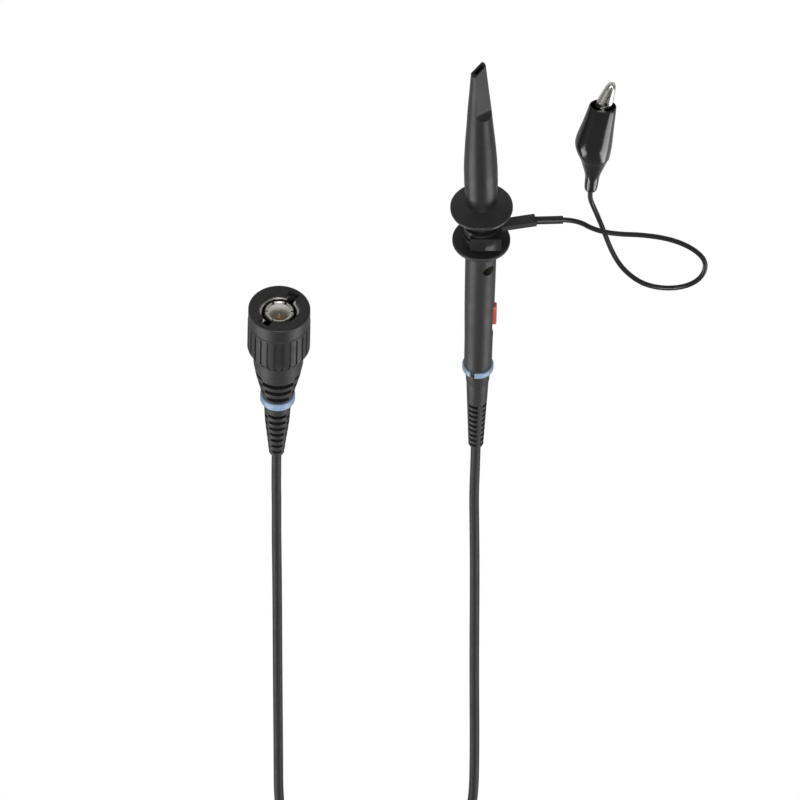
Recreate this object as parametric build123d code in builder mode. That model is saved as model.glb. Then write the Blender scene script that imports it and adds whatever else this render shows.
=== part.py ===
from build123d import *
import math
import os

# Passive 1x/10x oscilloscope probe with its hook tip, ground lead, cable and BNC plug.
# It lies on the plane z = 0. The probe's axis runs along Y at height axis_z, with the
# hook tip towards -Y and the cable leaving towards +Y. X = 0 is the probe's own axis.
# Along the probe, "a" is the distance behind the finger guard's front face.
# Along the plug, "b" is the distance behind the grip sleeve's front face.

# ------------------------------------------------------------------ driving sizes
flange_r = 8.65          # hook sleeve's finger flange, which touches the surface
axis_z = flange_r
guard_y = -6.9           # y of the finger guard's front face
guard_r = 8.02
shell_bore_r = 2.75
barrel_r = 2.5           # metal ground barrel that the hook tip and ground ring fit
board_angle = 33.0       # turn of the circuit board and trimmer from +Z towards -X
needle_r = 0.48

cable_d = 2.75
cable_r = cable_d / 2
strain_end = 85.5        # a of the probe strain relief's tail end
slot_pitch = 2.05
slot_columns = (-25, 65, 155, 245)

sleeve_lean = 1.8        # the hook sleeve leans on its carrier, in degrees
blade_angle = 35.0       # turn of the blade's flats from +Z towards -X

trimmer_a = 9.6
switch_a = 31.0
switch_travel = 3.0

wire_d = 1.4
wire_r = wire_d / 2

plug_x = 55.3
plug_y = 22.9            # y of the grip sleeve's front face
plug_z = 8.7             # equals the grip's largest radius, so it touches the surface
plug_end = 60.0          # b of the boot's tail end
groove_count = 26
bayonet_angle = 53.0     # turn of the two bayonet entries from +X towards +Z
collet_r = 4.04

coil_x = 25.2
coil_y = 266.0
coil_turns = 7.5
coil_turn_r = 16.4       # average radius of the turns
coil_inner_r = 10.0
coil_outer_r = 24.3
coil_bottom = 0.45

fit = 0.02               # gap between pieces that are pressed or glued together


# ------------------------------------------------------------------ shared helpers
def along(x, y, z, lean=0.0):
    """Plane for turned profiles: local x runs along the axis to +Y, local y is the radius."""
    s = math.sin(math.radians(lean))
    c = math.cos(math.radians(lean))
    return Plane(origin=(x, y, z), x_dir=(-s, c, 0), z_dir=(c, s, 0))


def turn_about(plane, angle):
    """The same axis plane, with its local z pointing outwards at an angle from +Z to -X."""
    t = math.radians(angle)
    side = plane.z_dir
    up = Vector(0, 0, 1)
    outward = up * math.cos(t) - side * math.sin(t)
    return Plane(origin=plane.origin, x_dir=plane.x_dir, z_dir=outward)


def outline(plane, points):
    """A closed face through the given points."""
    with BuildSketch(plane) as face:
        with BuildLine():
            Polyline(*points, close=True)
        make_face()
    return face.sketch


def turned(plane, points):
    """Revolve an (axial, radial) outline about the plane's axis."""
    revolve(outline(plane, points), axis=Axis(plane.origin, plane.x_dir))


def collar(plane, start, stop, inner, outer):
    """A plain tube between two places on the axis."""
    turned(plane, [(start, inner), (start, outer), (stop, outer), (stop, inner)])


def radial_slots(plane, angle, places, height, depth_from):
    """Cut a column of slots, given as (axial place, slot length), into a round piece."""
    face = turn_about(plane, angle).offset(depth_from)
    with BuildSketch(face) as marks:
        for place, length in places:
            with Locations((place, 0)):
                Rectangle(height, length)
    extrude(marks.sketch, amount=6, mode=Mode.SUBTRACT)


def rim_edges(piece, at_least):
    """The round edges of a piece whose radius is at least the given one."""
    return piece.edges().filter_by(GeomType.CIRCLE).filter_by(lambda e: e.radius >= at_least)


def corner_radii(points):
    """Arc radius at each inner corner of a route: as large as its two runs allow."""
    corners = [Vector(*p) for p in points]
    radii = []
    for before, here, after in zip(corners, corners[1:], corners[2:]):
        run_in = here - before
        run_out = after - here
        half_turn = math.radians(run_in.get_angle(run_out) / 2)
        radii.append(0.45 * min(run_in.length, run_out.length) / math.tan(half_turn))
    return radii


def tube_along(points, radius, name):
    """Sweep a round section along straight runs joined by arcs."""
    radii = corner_radii(points)
    start = Vector(*points[0])
    with BuildLine() as route:
        FilletPolyline(*points, radius=radii)
    heading = Vector(*points[1]) - start
    with BuildSketch(Plane(origin=start, z_dir=heading)) as section:
        Circle(radius)
    sweep(section.sketch, path=route.wire())
    length = route.wire().length
    volume = math.pi * radius**2 * length
    print(f"{name}: route {length:.1f} mm, section x length {volume:.1f} mm3")
    print(f"  radii {[round(r, 1) for r in radii]}")


# ------------------------------------------------------------------ probe body
probe = along(0, guard_y, axis_z)
board_plane = turn_about(probe, board_angle)
switch_plane = turn_about(probe, 90)

trimmer_hole_r = 1.7
recess_length = 13.0
recess_floor = 3.3
switch_middle = switch_a + switch_travel / 2

with BuildPart() as handle_shell:
    turned(
        probe,
        [
            (0, shell_bore_r),
            (0, guard_r),
            (1.2, guard_r),
            (2.6, 5.0),
            (4.2, 4.34),
            (10, 4.29),
            (17, 4.25),
            (27, 4.17),
            (34, 4.06),
            (41, 3.93),
            (51.6, 3.86),
            (51.6, 3.35),
            (53.7, 3.35),
            (53.7, shell_bore_r),
        ],
    )
    fillet(rim_edges(handle_shell, guard_r - 0.1), 0.35)
    with BuildSketch(board_plane.offset(2)):
        with Locations((trimmer_a, 0)):
            Circle(trimmer_hole_r)
    extrude(amount=4, mode=Mode.SUBTRACT)
    with BuildSketch(switch_plane.offset(recess_floor)):
        with Locations((switch_middle, 0)):
            RectangleRounded(recess_length, 3.4, 0.8)
    extrude(amount=2, mode=Mode.SUBTRACT)
    with BuildSketch(switch_plane.offset(2)):
        with Locations((switch_middle, 0)):
            Rectangle(6.2, 2.1)
    extrude(amount=2, mode=Mode.SUBTRACT)

with BuildPart() as shield_tube:
    collar(probe, 1.5, 45.5, 2.45, shell_bore_r - fit)
    with BuildSketch(board_plane.offset(2)):
        with Locations((trimmer_a, 0)):
            Circle(trimmer_hole_r)
    extrude(amount=2, mode=Mode.SUBTRACT)
    with BuildSketch(switch_plane.offset(1)):
        with Locations((switch_middle, 0)):
            Rectangle(6.4, 2.3)
    extrude(amount=3, mode=Mode.SUBTRACT)

with BuildPart() as ground_barrel:
    turned(
        probe,
        [
            (-24, 1.95),
            (-24, 2.3),
            (-23.7, barrel_r),
            (0.1, barrel_r),
            (0.1, shell_bore_r - fit),
            (1.4, shell_bore_r - fit),
            (1.4, 2.43),
            (5, 2.43),
            (5, 1.95),
        ],
    )

with BuildPart() as nose_insulator:
    turned(probe, [(-26.6, 0.5), (-26.6, 1.1), (-25.2, 1.93), (4.8, 1.93), (4.8, 0.5)])

with BuildPart() as tip_needle:
    turned(probe, [(-31, 0), (-31, 0.12), (-29.6, needle_r), (5.9, needle_r), (5.9, 0)])

board_half_thick = 0.3
with BuildPart() as divider_board:
    with BuildSketch(board_plane.offset(-board_half_thick)):
        with Locations((24.5, 0)):
            Rectangle(37, 4.0)
    extrude(amount=2 * board_half_thick)

with BuildPart() as divider_chips:
    with BuildSketch(board_plane.offset(board_half_thick)):
        with Locations((14.5, 0.5), (18.5, -0.5), (22.5, 0.5)):
            Rectangle(2.0, 1.25)
    extrude(amount=0.55)

with BuildPart() as trimmer_body:
    with BuildSketch(board_plane.offset(board_half_thick)):
        with Locations((trimmer_a, 0)):
            Circle(1.5)
    extrude(amount=1.2)

# Slotted brass screw that trims the probe's compensation.
screw_r = 1.15
screw_top = 2.7
with BuildPart() as trimmer_screw:
    with BuildSketch(board_plane.offset(1.6)):
        with Locations((trimmer_a, 0)):
            Circle(screw_r)
    extrude(amount=screw_top - 1.6)
    with BuildSketch(board_plane.offset(screw_top - 0.4)):
        with Locations((trimmer_a, 0)):
            Rectangle(2.4, 0.35, rotation=20)
    extrude(amount=1, mode=Mode.SUBTRACT)

# The 1x/10x slide: a ribbed knob over the shell with a stem down to its contact.
knob_bottom = recess_floor + 0.12
knob_top = 4.8
stem_bottom = 2.3
with BuildPart() as switch_knob:
    with BuildSketch(switch_plane.offset(knob_bottom)):
        with Locations((switch_a, 0)):
            RectangleRounded(7.4, 2.5, 0.8)
    extrude(amount=knob_top - knob_bottom)
    fillet(switch_knob.faces().sort_by(Axis.X)[0].edges(), 0.4)
    with BuildSketch(switch_plane.offset(knob_top - 0.3)):
        with Locations((switch_a, 0)):
            with GridLocations(1.2, 1, 4, 1):
                Rectangle(0.5, 4)
    extrude(amount=1, mode=Mode.SUBTRACT)
    with BuildSketch(switch_plane.offset(stem_bottom)):
        with Locations((switch_a, 0)):
            Rectangle(2.8, 1.7)
    extrude(amount=knob_bottom - stem_bottom + 0.2)

with BuildPart() as switch_contact:
    with BuildSketch(switch_plane.offset(stem_bottom - 0.2)):
        with Locations((switch_a, 0)):
            Rectangle(4.5, 1.0)
    extrude(amount=0.2)

# Split identification ring in the groove behind the handle.
with BuildPart() as probe_colour_ring:
    collar(probe, 51.68, 53.6, 3.35 + fit, 4.35)
    fillet(rim_edges(probe_colour_ring, 4.3), 0.3)
    with BuildSketch(turn_about(probe, -22).offset(2.5)):
        with Locations((52.6, 0)):
            Rectangle(4, 1.4)
    extrude(amount=3, mode=Mode.SUBTRACT)

with BuildPart() as probe_strain_relief:
    turned(
        probe,
        [
            (46, cable_r + fit),
            (46, shell_bore_r - fit),
            (53.75, shell_bore_r - fit),
            (53.75, 3.62),
            (55.6, 3.5),
            (57.4, 3.18),
            (58.0, 3.26),
            (58.7, 3.1),
            (65.4, 2.86),
            (strain_end - 0.7, 2.1),
            (strain_end, 1.75),
            (strain_end, cable_r + fit),
        ],
    )
    for column in slot_columns:
        slots = []
        for i in range(9):
            place = 67.4 + slot_pitch * i
            radius_here = 2.78 - 0.038 * (place - 67.4)
            slots.append((place, 2 * radius_here * math.sin(math.radians(31))))
        radial_slots(probe, column, slots, 1.0, 1.6)

with BuildPart() as probe_cable_end:
    collar(probe, 43.9, strain_end, 0, cable_r)

# ------------------------------------------------------------------ hook tip
with BuildPart() as hook_carrier:
    turned(
        probe,
        [
            (-7.2, barrel_r + 0.05),
            (-7.2, 3.5),
            (-8.2, 3.5),
            (-8.5, 3.0),
            (-27.9, 3.0),
            (-27.9, 1.25 + fit),
            (-26.9, 1.25 + fit),
            (-26.9, barrel_r + 0.05),
        ],
    )

with BuildPart() as hook_socket:
    turned(
        probe,
        [
            (-33.0, 0),
            (-33.0, 0.8),
            (-32.5, 1.25),
            (-27.2, 1.25),
            (-27.2, needle_r + 0.04),
            (-31.6, needle_r + 0.04),
            (-31.6, 0),
        ],
    )

# The sleeve's own axis crosses the probe's axis at a = -8 and leans towards +X.
lean_at = -8.0
lean = math.radians(sleeve_lean)
sleeve_x = lean_at * math.sin(lean)
sleeve_y = guard_y + lean_at - lean_at * math.cos(lean)
sleeve = along(sleeve_x, sleeve_y, axis_z, sleeve_lean)
flat_side = turn_about(sleeve, blade_angle)
flat_profile = Plane(
    origin=sleeve.origin,
    x_dir=sleeve.x_dir,
    z_dir=sleeve.x_dir.cross(flat_side.z_dir),
)
blade_half_end = 0.97    # half thickness of the blade at a = -70.5
blade_half_root = 2.1    # half thickness where the flats end
flat_root = -53.8
end_slant = 0.673        # axial shift of the blade's end face per mm across
blade_end = -69.0        # a of the end face's middle

with BuildPart() as hook_sleeve:
    turned(
        sleeve,
        [
            (-12.1, 0),
            (-12.1, flange_r),
            (-13.3, flange_r),
            (-15.3, 4.3),
            (-16.2, 4.2),
            (-19.5, 4.55),
            (-23, 4.66),
            (-29, 4.67),
            (-33.2, 4.53),
            (-40, 4.16),
            (-46.6, 3.7),
            (-53.3, 3.27),
            (-60, 2.74),
            (-66.6, 2.25),
            (-76, 1.6),
            (-76, 0),
        ],
    )
    fillet(rim_edges(hook_sleeve, flange_r - 0.1), 0.4)
    for side in (1, -1):
        with BuildSketch(flat_profile) as flat_cut:
            with BuildLine():
                blade_tip_half = blade_half_end - 0.0677 * 6
                Line((-76.5, side * blade_tip_half), (flat_root, side * blade_half_root))
                ThreePointArc(
                    (flat_root, side * blade_half_root),
                    (-52.0, side * 2.5),
                    (-50.9, side * 3.6),
                )
                Polyline(
                    (-50.9, side * 3.6),
                    (-50.9, side * 6),
                    (-76.5, side * 6),
                    (-76.5, side * blade_tip_half),
                )
            make_face()
        extrude(flat_cut.sketch, amount=6, both=True, mode=Mode.SUBTRACT)
    long_profile = Plane(origin=sleeve.origin, x_dir=sleeve.x_dir, z_dir=flat_side.z_dir)
    end_face = outline(
        long_profile,
        [
            (blade_end - 5 * end_slant, 5),
            (blade_end + 5 * end_slant, -5),
            (-82, -5),
            (-82, 5),
        ],
    )
    extrude(end_face, amount=5, both=True, mode=Mode.SUBTRACT)
    bore = outline(
        sleeve,
        [
            (-11.5, 0),
            (-11.5, 4.0),
            (-33.8, 4.0),
            (-34.6, 3.0),
            (-39, 3.0),
            (-39, 1.5),
            (-50.5, 1.5),
            (-51.5, 1.2),
            (-58, 1.2),
            (-58, 0),
        ],
    )
    revolve(bore, axis=Axis(sleeve.origin, sleeve.x_dir), mode=Mode.SUBTRACT)
    slot_start = sleeve.origin + sleeve.x_dir * -49.8
    with BuildSketch(Plane(origin=slot_start, x_dir=flat_side.z_dir, z_dir=-sleeve.x_dir)):
        RectangleRounded(1.3, 2.7, 0.3)
    extrude(amount=28, mode=Mode.SUBTRACT)
    with BuildSketch(turn_about(sleeve, -56).offset(4.35)):
        with Locations((-23.5, 0)):
            Circle(0.35)
    extrude(amount=1, mode=Mode.SUBTRACT)

# The hook: straight along the sleeve, bent back on itself in the blade's wide direction.
hook_start = Vector(0, guard_y - 33.02, axis_z)
hook_end = sleeve.origin + sleeve.x_dir * (blade_end + 3.3)
hook_run = hook_end - hook_start
hook_across = flat_profile.z_dir
hook_plane = Plane(
    origin=hook_start,
    x_dir=hook_run,
    z_dir=hook_run.cross(hook_across),
)
hook_bend = 0.75
with BuildPart() as hook_wire:
    with BuildLine(hook_plane) as hook_line:
        Line((0, 0), (hook_run.length - 3, 0))
        Line((hook_run.length - 3, 0), (hook_run.length, -hook_bend))
        JernArc(
            (hook_run.length, -hook_bend),
            (3, -hook_bend),
            hook_bend,
            207,
        )
    with BuildSketch(Plane(origin=hook_start, z_dir=hook_run)):
        Circle(0.34)
    sweep(path=hook_line.wire(), transition=Transition.ROUND)

# Return spring between the carrier and the shoulder inside the sleeve.
spring_wire_r = 0.22
spring_r = 2.5
spring_base = sleeve.origin + sleeve.x_dir * -38.6
with BuildPart() as hook_spring:
    with BuildLine() as coil_line:
        Helix(1.25, 10.0, spring_r, center=spring_base, direction=sleeve.x_dir)
    helix_start = coil_line.wire() @ 0
    helix_heading = coil_line.wire() % 0
    with BuildSketch(Plane(origin=helix_start, z_dir=helix_heading)):
        Circle(spring_wire_r)
    sweep(path=coil_line.wire(), is_frenet=True)

# ------------------------------------------------------------------ ground ring and lead
# The ring turns on the barrel between the hook sleeve and the guard.
arm_a = -4.2
arm_droop = 14.5
arm_heading = Vector(
    -math.cos(math.radians(arm_droop)),
    0.05,
    -math.sin(math.radians(arm_droop)),
).normalized()
arm_plane = Plane(
    origin=(0, guard_y + arm_a, axis_z),
    x_dir=arm_heading,
    z_dir=arm_heading.cross(Vector(0, 1, 0)).cross(arm_heading),
)
arm_tip = 15.4
lug_tip = 12.0

with BuildPart() as ground_clip_ring:
    collar(probe, -5.6, -1.2, barrel_r + 0.06, 3.1)
    with BuildSketch(arm_plane.offset(-0.25)):
        with Locations(((lug_tip + 2.9) / 2, 0)):
            Rectangle(lug_tip - 2.9, 1.8)
    extrude(amount=0.5)
    opening = outline(
        Plane(origin=(0, guard_y - 7, axis_z), x_dir=(1, 0, 0), z_dir=(0, 1, 0)),
        [(1.5, -1.0), (5, -1.0), (5, 1.0), (1.5, 1.0)],
    )
    extrude(opening, amount=8, mode=Mode.SUBTRACT)

with BuildPart() as ground_ring_cover:
    collar(probe, -6.1, -3.1, 3.1 + fit, 5.0)
    turned(probe, [(-3.1, 3.1 + fit), (-3.1, 5.3), (-0.5, 5.5), (-0.5, 3.1 + fit)])
    with BuildSketch(arm_plane.offset(-0.85)):
        with Locations(((arm_tip + 3.6) / 2, 0)):
            RectangleRounded(arm_tip - 3.6, 3.2, 0.4)
    extrude(amount=1.7)
    with BuildSketch(arm_plane.offset(-0.25 - fit)):
        with Locations(((lug_tip + 2.9) / 2, 0)):
            Rectangle(lug_tip - 2.9 + 0.1, 1.8 + 2 * fit)
    extrude(amount=0.5 + 2 * fit, mode=Mode.SUBTRACT)
    collar_bore = outline(probe, [(-7, 0), (-7, 3.1 + fit), (0, 3.1 + fit), (0, 0)])
    revolve(collar_bore, axis=Axis(probe.origin, probe.x_dir), mode=Mode.SUBTRACT)

# Route of the ground lead's wire, from the crimp sleeve to the clip's boot: it comes
# down to the surface, loops round and passes under its own first stretch.
sleeve_foot = arm_plane.origin + arm_heading * (arm_tip - 1.2)
lead_points = [
    (-21.95, -9.80, 4.15),
    (-26.25, -9.52, 3.90),
    (-31.33, -5.10, 3.60),
    (-37.35, -3.09, 3.20),
    (-45.48, -1.42, 1.90),
    (-53.53, 1.75, 0.80),
    (-59.70, 6.05, 0.75),
    (-62.69, 11.20, 0.75),
    (-61.48, 17.22, 0.75),
    (-57.34, 21.00, 0.75),
    (-51.16, 22.00, 0.75),
    (-44.93, 20.10, 0.75),
    (-39.63, 14.37, 0.75),
    (-36.32, 7.02, 0.75),
    (-33.77, -2.14, 0.75),
    (-31.76, -8.91, 0.75),
    (-29.97, -14.88, 1.30),
    (-29.75, -19.30, 3.00),
    (-29.85, -23.60, 4.40),
]
lead_start = Vector(*lead_points[0])
sleeve_run = lead_start - sleeve_foot

with BuildPart() as ground_lead_sleeve:
    with BuildSketch(Plane(origin=sleeve_foot, z_dir=sleeve_run)):
        Circle(1.12)
    extrude(amount=sleeve_run.length + 0.5)
    bite = outline(arm_plane, [(2, -3), (2, 3), (arm_tip + fit, 3), (arm_tip + fit, -3)])
    extrude(bite, amount=3, both=True, mode=Mode.SUBTRACT)

with BuildPart() as ground_lead:
    tube_along(lead_points, wire_r, "ground_lead")

# ------------------------------------------------------------------ alligator clip
# Along the clip, "s" is the distance from the boot's neck end towards the jaws.
clip_yaw = math.radians(4.6)
clip_heading = Vector(-math.sin(clip_yaw), -math.cos(clip_yaw), 0)
clip_origin = Vector(-29.83, -23.08, 4.5)
clip = Plane(origin=clip_origin, x_dir=clip_heading, z_dir=(0, 0, 1))
boot_length = 35.3
# Each row: s, half width, half height of the boot's outside.
boot_rows = [
    (0, 1.85, 1.85),
    (5.0, 1.95, 1.95),
    (8.3, 2.65, 2.45),
    (12.8, 4.05, 3.5),
    (15.8, 4.85, 4.05),
    (18.6, 5.2, 4.3),
    (22.0, 4.95, 4.25),
    (26.0, 4.4, 4.0),
    (30.5, 3.85, 3.65),
    (boot_length, 3.5, 3.35),
]
boot_wall = 0.75


def boot_section(s, half_width, half_height):
    """An oval across the clip's axis, at a distance s from the neck end."""
    across = Plane(
        origin=clip_origin + clip_heading * s,
        x_dir=clip_heading.cross(Vector(0, 0, 1)),
        z_dir=clip_heading,
    )
    with BuildSketch(across) as oval:
        Ellipse(half_width, half_height)
    return oval.sketch


with BuildPart() as clip_boot:
    loft([boot_section(s, w, h) for s, w, h in boot_rows])
    hollow_rows = [(s, w - boot_wall, h - boot_wall) for s, w, h in boot_rows[2:-1]]
    mouth_s, mouth_w, mouth_h = boot_rows[-1]
    hollow_rows.append((mouth_s + 0.5, mouth_w - boot_wall + 0.1, mouth_h - boot_wall + 0.1))
    loft([boot_section(s, w, h) for s, w, h in hollow_rows], mode=Mode.SUBTRACT)
    with BuildSketch(Plane(origin=clip_origin, z_dir=clip_heading)):
        Circle(wire_r + fit)
    extrude(amount=12, mode=Mode.SUBTRACT)

wire_end_s = 12.5
with BuildPart() as clip_wire_end:
    with BuildSketch(Plane(origin=clip_origin + clip_heading * 0.9, z_dir=clip_heading)):
        Circle(wire_r)
    extrude(amount=wire_end_s - 0.9)

pivot_s = 33.5
pivot_r = 0.7
jaw_lean = math.radians(9)
jaw_tip_s = 43.6
jaw_half_height = 1.55
sheet = 0.45


def leaning(s, offset):
    """A point on the nose, which leans off the boot's axis ahead of the pivot."""
    ahead = s - pivot_s
    across = -ahead * math.sin(jaw_lean) + offset * math.cos(jaw_lean)
    return (pivot_s + ahead * math.cos(jaw_lean) + offset * math.sin(jaw_lean), across)


def jaw_outline(side, tail_s, tail_offset):
    """Side view of one jaw: toothed nose ahead of the pivot, handle behind it."""
    teeth = []
    tooth_count = 6
    tooth = 0.8
    for i in range(tooth_count):
        root = jaw_tip_s - 0.9 - tooth * i
        teeth.append(leaning(root, side * 0.08))
        teeth.append(leaning(root - tooth * 0.5, side * 0.42))
    throat = leaning(pivot_s + 3.5, side * 0.55)
    return [
        leaning(jaw_tip_s, side * 0.08),
        *teeth,
        throat,
        (pivot_s, side * 0.3),
        (tail_s, side * (tail_offset - 0.55)),
        (tail_s, side * tail_offset),
        (pivot_s - 2.5, side * 2.15),
        (pivot_s + 1.5, side * 1.82),
        leaning(jaw_tip_s - 2.2, side * 1.25),
        leaning(jaw_tip_s - 0.6, side * 0.8),
    ]


def jaw_trough(side):
    """The hollow inside a folded jaw, open towards the other jaw."""
    return [
        leaning(jaw_tip_s - 1.2, -side * 0.5),
        (pivot_s - 9, -side * 3),
        (pivot_s - 9, side * 1.75),
        (pivot_s - 2.5, side * 1.7),
        (pivot_s + 1.5, side * 1.38),
        leaning(jaw_tip_s - 2.4, side * 0.8),
        leaning(jaw_tip_s - 1.2, side * 0.4),
    ]


def jaw(side, tail_s, tail_offset, half_height):
    """One folded jaw with its toothed nose, its handle and two ears round the pivot pin."""
    extrude(outline(clip, jaw_outline(side, tail_s, tail_offset)), amount=half_height, both=True)
    hollow = half_height - sheet
    extrude(outline(clip, jaw_trough(side)), amount=hollow, both=True, mode=Mode.SUBTRACT)
    for level in (hollow, -half_height):
        with BuildSketch(clip.offset(level)) as ear:
            with Locations((pivot_s, 0)):
                Circle(1.25)
        extrude(ear.sketch, amount=sheet)
    with BuildSketch(clip.offset(-3)) as pivot_hole:
        with Locations((pivot_s, 0)):
            Circle(pivot_r + 0.03)
    extrude(pivot_hole.sketch, amount=6, mode=Mode.SUBTRACT)


# The fixed jaw ends in the crimp that holds the wire. The moving jaw nests inside it.
with BuildPart() as clip_fixed_jaw:
    jaw(-1, 17, 3.3, jaw_half_height)
    crimp_strip = outline(clip, [(11.5, -0.9), (11.5, -1.5), (17.4, -3.28), (17.4, -2.8)])
    extrude(crimp_strip, amount=0.9, both=True)
    with BuildSketch(Plane(origin=clip_origin + clip_heading * 10, z_dir=clip_heading)):
        Circle(1.3)
        Circle(wire_r + fit, mode=Mode.SUBTRACT)
    extrude(amount=2.4)

with BuildPart() as clip_moving_jaw:
    jaw(1, 18.5, 3.0, jaw_half_height - sheet - 0.08)

with BuildPart() as clip_pivot_pin:
    with BuildSketch(clip.offset(-2.1)):
        with Locations((pivot_s, 0)):
            Circle(pivot_r)
    extrude(amount=4.2)

with BuildPart() as clip_spring:
    with BuildSketch(clip.offset(-0.45)):
        with Locations((pivot_s, 0)):
            Circle(1.15)
            Circle(pivot_r + 0.1, mode=Mode.SUBTRACT)
    extrude(amount=0.9)

# ------------------------------------------------------------------ BNC plug
plug = along(plug_x, plug_y, plug_z)
plug_front = Plane(origin=plug.origin, x_dir=(1, 0, 0), z_dir=(0, -1, 0))

grip_r = plug_z
mouth_r = 5.6
nut_outer = 6.3
nut_inner = 4.9

with BuildPart() as bnc_grip_sleeve:
    turned(
        plug,
        [
            (0, mouth_r),
            (0, 8.6),
            (4.6, 8.6),
            (5.0, grip_r),
            (15.2, grip_r),
            (17.9, 7.3),
            (17.9, nut_outer + fit),
            (1.3, nut_outer + fit),
            (1.3, mouth_r),
        ],
    )
    fillet(rim_edges(bnc_grip_sleeve, 8.5).sort_by(Axis.Y)[0], 0.4)
    groove = [(5.4, 8.3), (14.8, 8.3), (18.2, 6.85), (18.2, 9.5), (5.4, 9.5)]
    for i in range(groove_count):
        spoke = turn_about(plug, 360 / groove_count * (i + 0.5))
        groove_plane = Plane(
            origin=plug.origin,
            x_dir=plug.x_dir,
            z_dir=plug.x_dir.cross(spoke.z_dir),
        )
        extrude(outline(groove_plane, groove), amount=0.3, both=True, mode=Mode.SUBTRACT)
    with BuildSketch(plug_front):
        Rectangle(14.6, 3.2, rotation=bayonet_angle)
    extrude(amount=-1.3, mode=Mode.SUBTRACT)

# The nut's two bayonet tracks: an entry slot, then a ramp that ends in a locking hole.
track_r = 1.1
track_steps = 9
track_turn = 6.0
with BuildPart() as bnc_bayonet_nut:
    turned(
        plug,
        [
            (1.35, nut_inner + 0.3),
            (1.35, nut_outer),
            (16.8, nut_outer),
            (16.8, 4.45),
            (13.4, 4.45),
            (13.4, nut_inner),
            (1.65, nut_inner),
        ],
    )
    with BuildSketch(plug_front.offset(-1)):
        Rectangle(14, 2 * track_r, rotation=bayonet_angle)
    extrude(amount=-3, mode=Mode.SUBTRACT)
    for i in range(track_steps):
        angle = bayonet_angle + track_turn * i
        t = math.radians(angle)
        place = plug.origin + plug.x_dir * (4.0 + 0.35 * i)
        with BuildSketch(Plane(origin=place, z_dir=(math.cos(t), 0, math.sin(t)))):
            Circle(track_r)
        extrude(amount=7, both=True, mode=Mode.SUBTRACT)

with BuildPart() as bnc_wave_washer:
    collar(plug, 11.2, 11.5, 4.35, 4.8)

with BuildPart() as bnc_retaining_ring:
    collar(plug, 12.6, 13.2, 4.35, 4.8)

# Slotted outer contact, one piece with the plug's turned body.
gasket_seat_r = 3.9
with BuildPart() as bnc_outer_contact:
    turned(
        plug,
        [
            (1.2, 3.45),
            (1.2, 3.75),
            (1.55, collet_r),
            (8.3, collet_r),
            (8.3, gasket_seat_r),
            (9.5, gasket_seat_r),
            (9.5, 4.8),
            (11.0, 4.8),
            (11.0, 4.3),
            (18.4, 4.3),
            (18.4, 5.4),
            (20.4, 5.4),
            (20.4, 2.4),
            (29.4, 2.4),
            (29.4, cable_r + fit),
            (20.0, cable_r + fit),
            (20.0, 2.6),
            (10.0, 2.6),
            (10.0, 3.3),
            (1.4, 3.3),
        ],
    )
    for angle in (0, 60, 120):
        with BuildSketch(plug_front.offset(-1)):
            Rectangle(9, 0.55, rotation=angle)
        extrude(amount=-5.8, mode=Mode.SUBTRACT)

with BuildPart() as bnc_insulator:
    turned(
        plug,
        [
            (1.7, 3.0),
            (1.7, 3.3 - fit),
            (9.95, 3.3 - fit),
            (9.95, 2.6 - fit),
            (19.9, 2.6 - fit),
            (19.9, 0.7),
            (7.4, 0.7),
            (7.4, 2.6),
            (2.6, 2.6),
        ],
    )

with BuildPart() as bnc_centre_pin:
    turned(plug, [(2.6, 0), (2.6, 0.18), (3.5, 0.68), (19.8, 0.68), (19.8, 0)])

with BuildPart() as bnc_gasket:
    collar(plug, 8.45, 9.45, gasket_seat_r + fit, 4.8)

with BuildPart() as bnc_crimp_ferrule:
    collar(plug, 20.5, 29.0, 2.4 + fit, 3.0)

ring_groove_r = 3.85
with BuildPart() as connector_boot:
    turned(
        plug,
        [
            (18.25, 5.4 + fit),
            (18.25, 7.05),
            (22, 6.9),
            (26.4, 6.2),
            (30.8, 5.25),
            (33.5, 4.65),
            (35.0, 4.4),
            (35.0, ring_groove_r),
            (37.6, ring_groove_r),
            (37.6, 3.95),
            (40.8, 3.7),
            (45.8, 3.45),
            (50, 3.05),
            (54.2, 2.6),
            (59.2, 2.15),
            (plug_end, 1.75),
            (plug_end, cable_r + fit),
            (29.6, cable_r + fit),
            (29.6, 3.0 + fit),
            (20.45, 3.0 + fit),
            (20.45, 5.4 + fit),
        ],
    )
    for i in range(3):
        place = 26.2 + 3.5 * i
        length = 8.6 - 1.2 * i
        depth_from = 3.5 - 0.2 * i
        for angle in (0, 180):
            radial_slots(plug, angle, [(place, length)], 1.9, depth_from)
        for angle in (90, 270):
            radial_slots(plug, angle, [(place - 1.75, length + 0.6)], 1.4, depth_from + 0.4)
    for i in range(7):
        place = 41.6 + 2.63 * i
        length = 5.0 - 0.38 * i
        depth_from = 1.8 - 0.03 * i
        for angle in (0, 180):
            radial_slots(plug, angle, [(place, length)], 1.25, depth_from)
        for angle in (90, 270):
            radial_slots(plug, angle, [(place + 1.3, length - 0.2)], 1.15, depth_from)

with BuildPart() as bnc_colour_ring:
    collar(plug, 35.05, 37.55, ring_groove_r + fit, 4.85)
    fillet(rim_edges(bnc_colour_ring, 4.8), 0.35)

with BuildPart() as connector_cable_end:
    collar(plug, 24.0, plug_end, 0, cable_r)

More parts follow.
